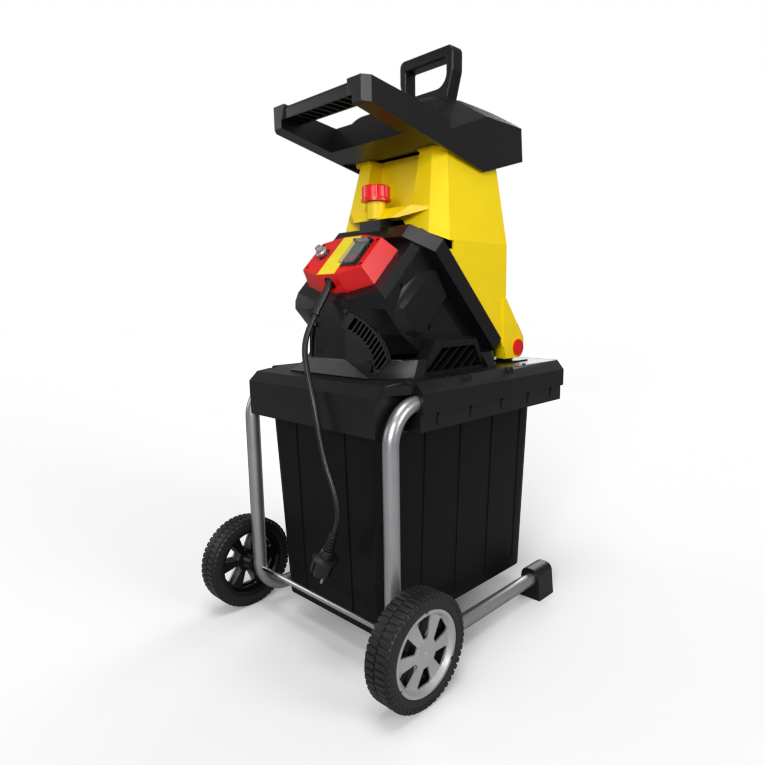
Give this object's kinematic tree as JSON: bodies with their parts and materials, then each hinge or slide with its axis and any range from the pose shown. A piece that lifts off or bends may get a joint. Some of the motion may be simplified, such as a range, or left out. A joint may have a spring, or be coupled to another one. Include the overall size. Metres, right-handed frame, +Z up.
{
  "type": "wood chipper",
  "caption": "Upright electric garden shredder: tilting feed hopper with pusher over a sloping cutter and motor housing, on a wheeled tube frame with a pull-out collecting box.",
  "frame": {"origin": "on the floor, under the middle of the outer box of the machine without its cord", "axes": "+X to the machine's right (start-button side), +Y to the rear where the box pulls out, -Y to the wheels and switch, +Z up"},
  "size_m": [0.51, 0.566, 1.054],
  "materials": {
    "tyre_rubber": "matt moulded tread rubber",
    "wheel_plastic": "matt black moulded",
    "silver_trim": "silver satin paint on moulded trim",
    "frame_silver": "silver-grey powder coat",
    "axle_steel": "zinc-plated bright steel",
    "blade_steel": "ground hardened steel",
    "plug_metal": "nickel-plated",
    "screw_steel": "black-passivated steel",
    "black_plastic": "fine-textured black polypropylene",
    "yellow_plastic": "satin yellow moulded",
    "red_plastic": "satin red moulded",
    "green_plastic": "satin green moulded",
    "motor_iron": "laminated iron and copper",
    "insert_brass": "turned",
    "clear_plastic": "clear moulded cover",
    "boot_rubber": "soft black moulded",
    "button_plastic": "pale moulded",
    "cord_rubber": "matt black jacket"
  },
  "bodies": {
    "root": {"right_frame_tube": "frame_silver", "left_frame_tube": "frame_silver", "right_foot": "wheel_plastic", "left_foot": "wheel_plastic", "axle": "axle_steel", "axle_retainers": "axle_steel", "base_cover": "black_plastic", "cutting_chamber": "black_plastic", "motor_housing": "black_plastic", "motor_stator": "motor_iron", "upper_bearing": "axle_steel", "lower_bearing": "axle_steel", "hinge_bracket": "black_plastic", "hinge_pins": "axle_steel", "lock_post": "black_plastic", "lock_insert": "insert_brass", "switch_box": "red_plastic", "switch_unit": "black_plastic", "overload_breaker": "black_plastic", "switch_plate": "black_plastic", "flap_pin": "axle_steel", "reset_boot": "boot_rubber", "strain_relief": "boot_rubber", "power_cord": "cord_rubber", "plug_body": "boot_rubber", "plug_pins": "plug_metal", "right_front_grille": "black_plastic", "left_front_grille": "black_plastic", "right_louvre": "black_plastic", "left_louvre": "black_plastic", "housing_screws": "screw_steel", "frame_screws": "screw_steel", "bracket_screws": "screw_steel", "switch_screws": "screw_steel"},
    "hopper": {"hopper_shell": "yellow_plastic", "hood": "black_plastic", "feed_chute": "black_plastic", "hinge_caps": "red_plastic", "hood_screws": "screw_steel"},
    "pusher": {"pusher": "black_plastic"},
    "lock_slide": {"lock_washer": "axle_steel"},
    "lock_knob": {"lock_knob": "red_plastic", "lock_screw": "axle_steel"},
    "cutter": {"rotor_shaft": "axle_steel", "cutting_disc": "axle_steel", "shredder_blades": "blade_steel", "blade_screws": "screw_steel", "disc_bolt": "axle_steel", "cooling_fan": "black_plastic"},
    "collection_box": {"collection_box": "black_plastic"},
    "right_wheel": {"right_tyre": "tyre_rubber", "right_core": "wheel_plastic", "right_hub_cap": "silver_trim"},
    "left_wheel": {"left_tyre": "tyre_rubber", "left_core": "wheel_plastic", "left_hub_cap": "silver_trim"},
    "switch_flap": {"switch_flap": "clear_plastic"},
    "start_button": {"start_button": "green_plastic"},
    "stop_button": {"stop_button": "red_plastic"},
    "reset_button": {"reset_button": "button_plastic"}
  },
  "joints": [
    {"name": "hopper_tilt", "type": "hinge", "parent": "root", "child": "hopper", "pos_m": [0, 0.212, 0.512], "axis": [-1, 0, 0], "range_deg": [0, 90]},
    {"name": "pusher_slide", "type": "slide", "parent": "hopper", "child": "pusher", "axis": [0, 0, 1], "range_m": [0, 0.26]},
    {"name": "knob_lift", "type": "slide", "parent": "hopper", "child": "lock_slide", "axis": [0, 0, 1], "range_m": [0, 0.016]},
    {"name": "knob_turn", "type": "hinge", "parent": "lock_slide", "child": "lock_knob", "pos_m": [0, -0.035, 0.78], "axis": [0, 0, 1], "range_deg": [0, 1440.5]},
    {"name": "cutter_spin", "type": "hinge", "parent": "root", "child": "cutter", "pos_m": [0, 0.0475, 0.6385], "axis": [0, 0.7071, 0.7071], "continuous": true},
    {"name": "box_slide", "type": "slide", "parent": "root", "child": "collection_box", "axis": [0, 1, 0], "range_m": [0, 0.45]},
    {"name": "right_wheel_spin", "type": "hinge", "parent": "root", "child": "right_wheel", "pos_m": [0.232, -0.193, 0.09], "axis": [1, 0, 0], "continuous": true},
    {"name": "left_wheel_spin", "type": "hinge", "parent": "root", "child": "left_wheel", "pos_m": [-0.232, -0.193, 0.09], "axis": [1, 0, 0], "continuous": true},
    {"name": "flap_open", "type": "hinge", "parent": "root", "child": "switch_flap", "pos_m": [0.042, -0.10961, 0.70639], "axis": [-1, 0, 0], "range_deg": [0, 115]},
    {"name": "start_press", "type": "slide", "parent": "root", "child": "start_button", "axis": [0, 0.7071, -0.7071], "range_m": [0, 0.0025], "stiffness_N_per_m": 250, "springref_m": -0.002},
    {"name": "stop_press", "type": "slide", "parent": "root", "child": "stop_button", "axis": [0, 0.7071, -0.7071], "range_m": [0, 0.0025], "stiffness_N_per_m": 250, "springref_m": -0.002},
    {"name": "reset_press", "type": "slide", "parent": "root", "child": "reset_button", "axis": [0, 0.7071, -0.7071], "range_m": [0, 0.0025], "stiffness_N_per_m": 250, "springref_m": -0.002}
  ],
  "couplings": [
    {"joint": "knob_turn", "follows": "knob_lift", "rad_per_m": 1570.8}
  ]
}
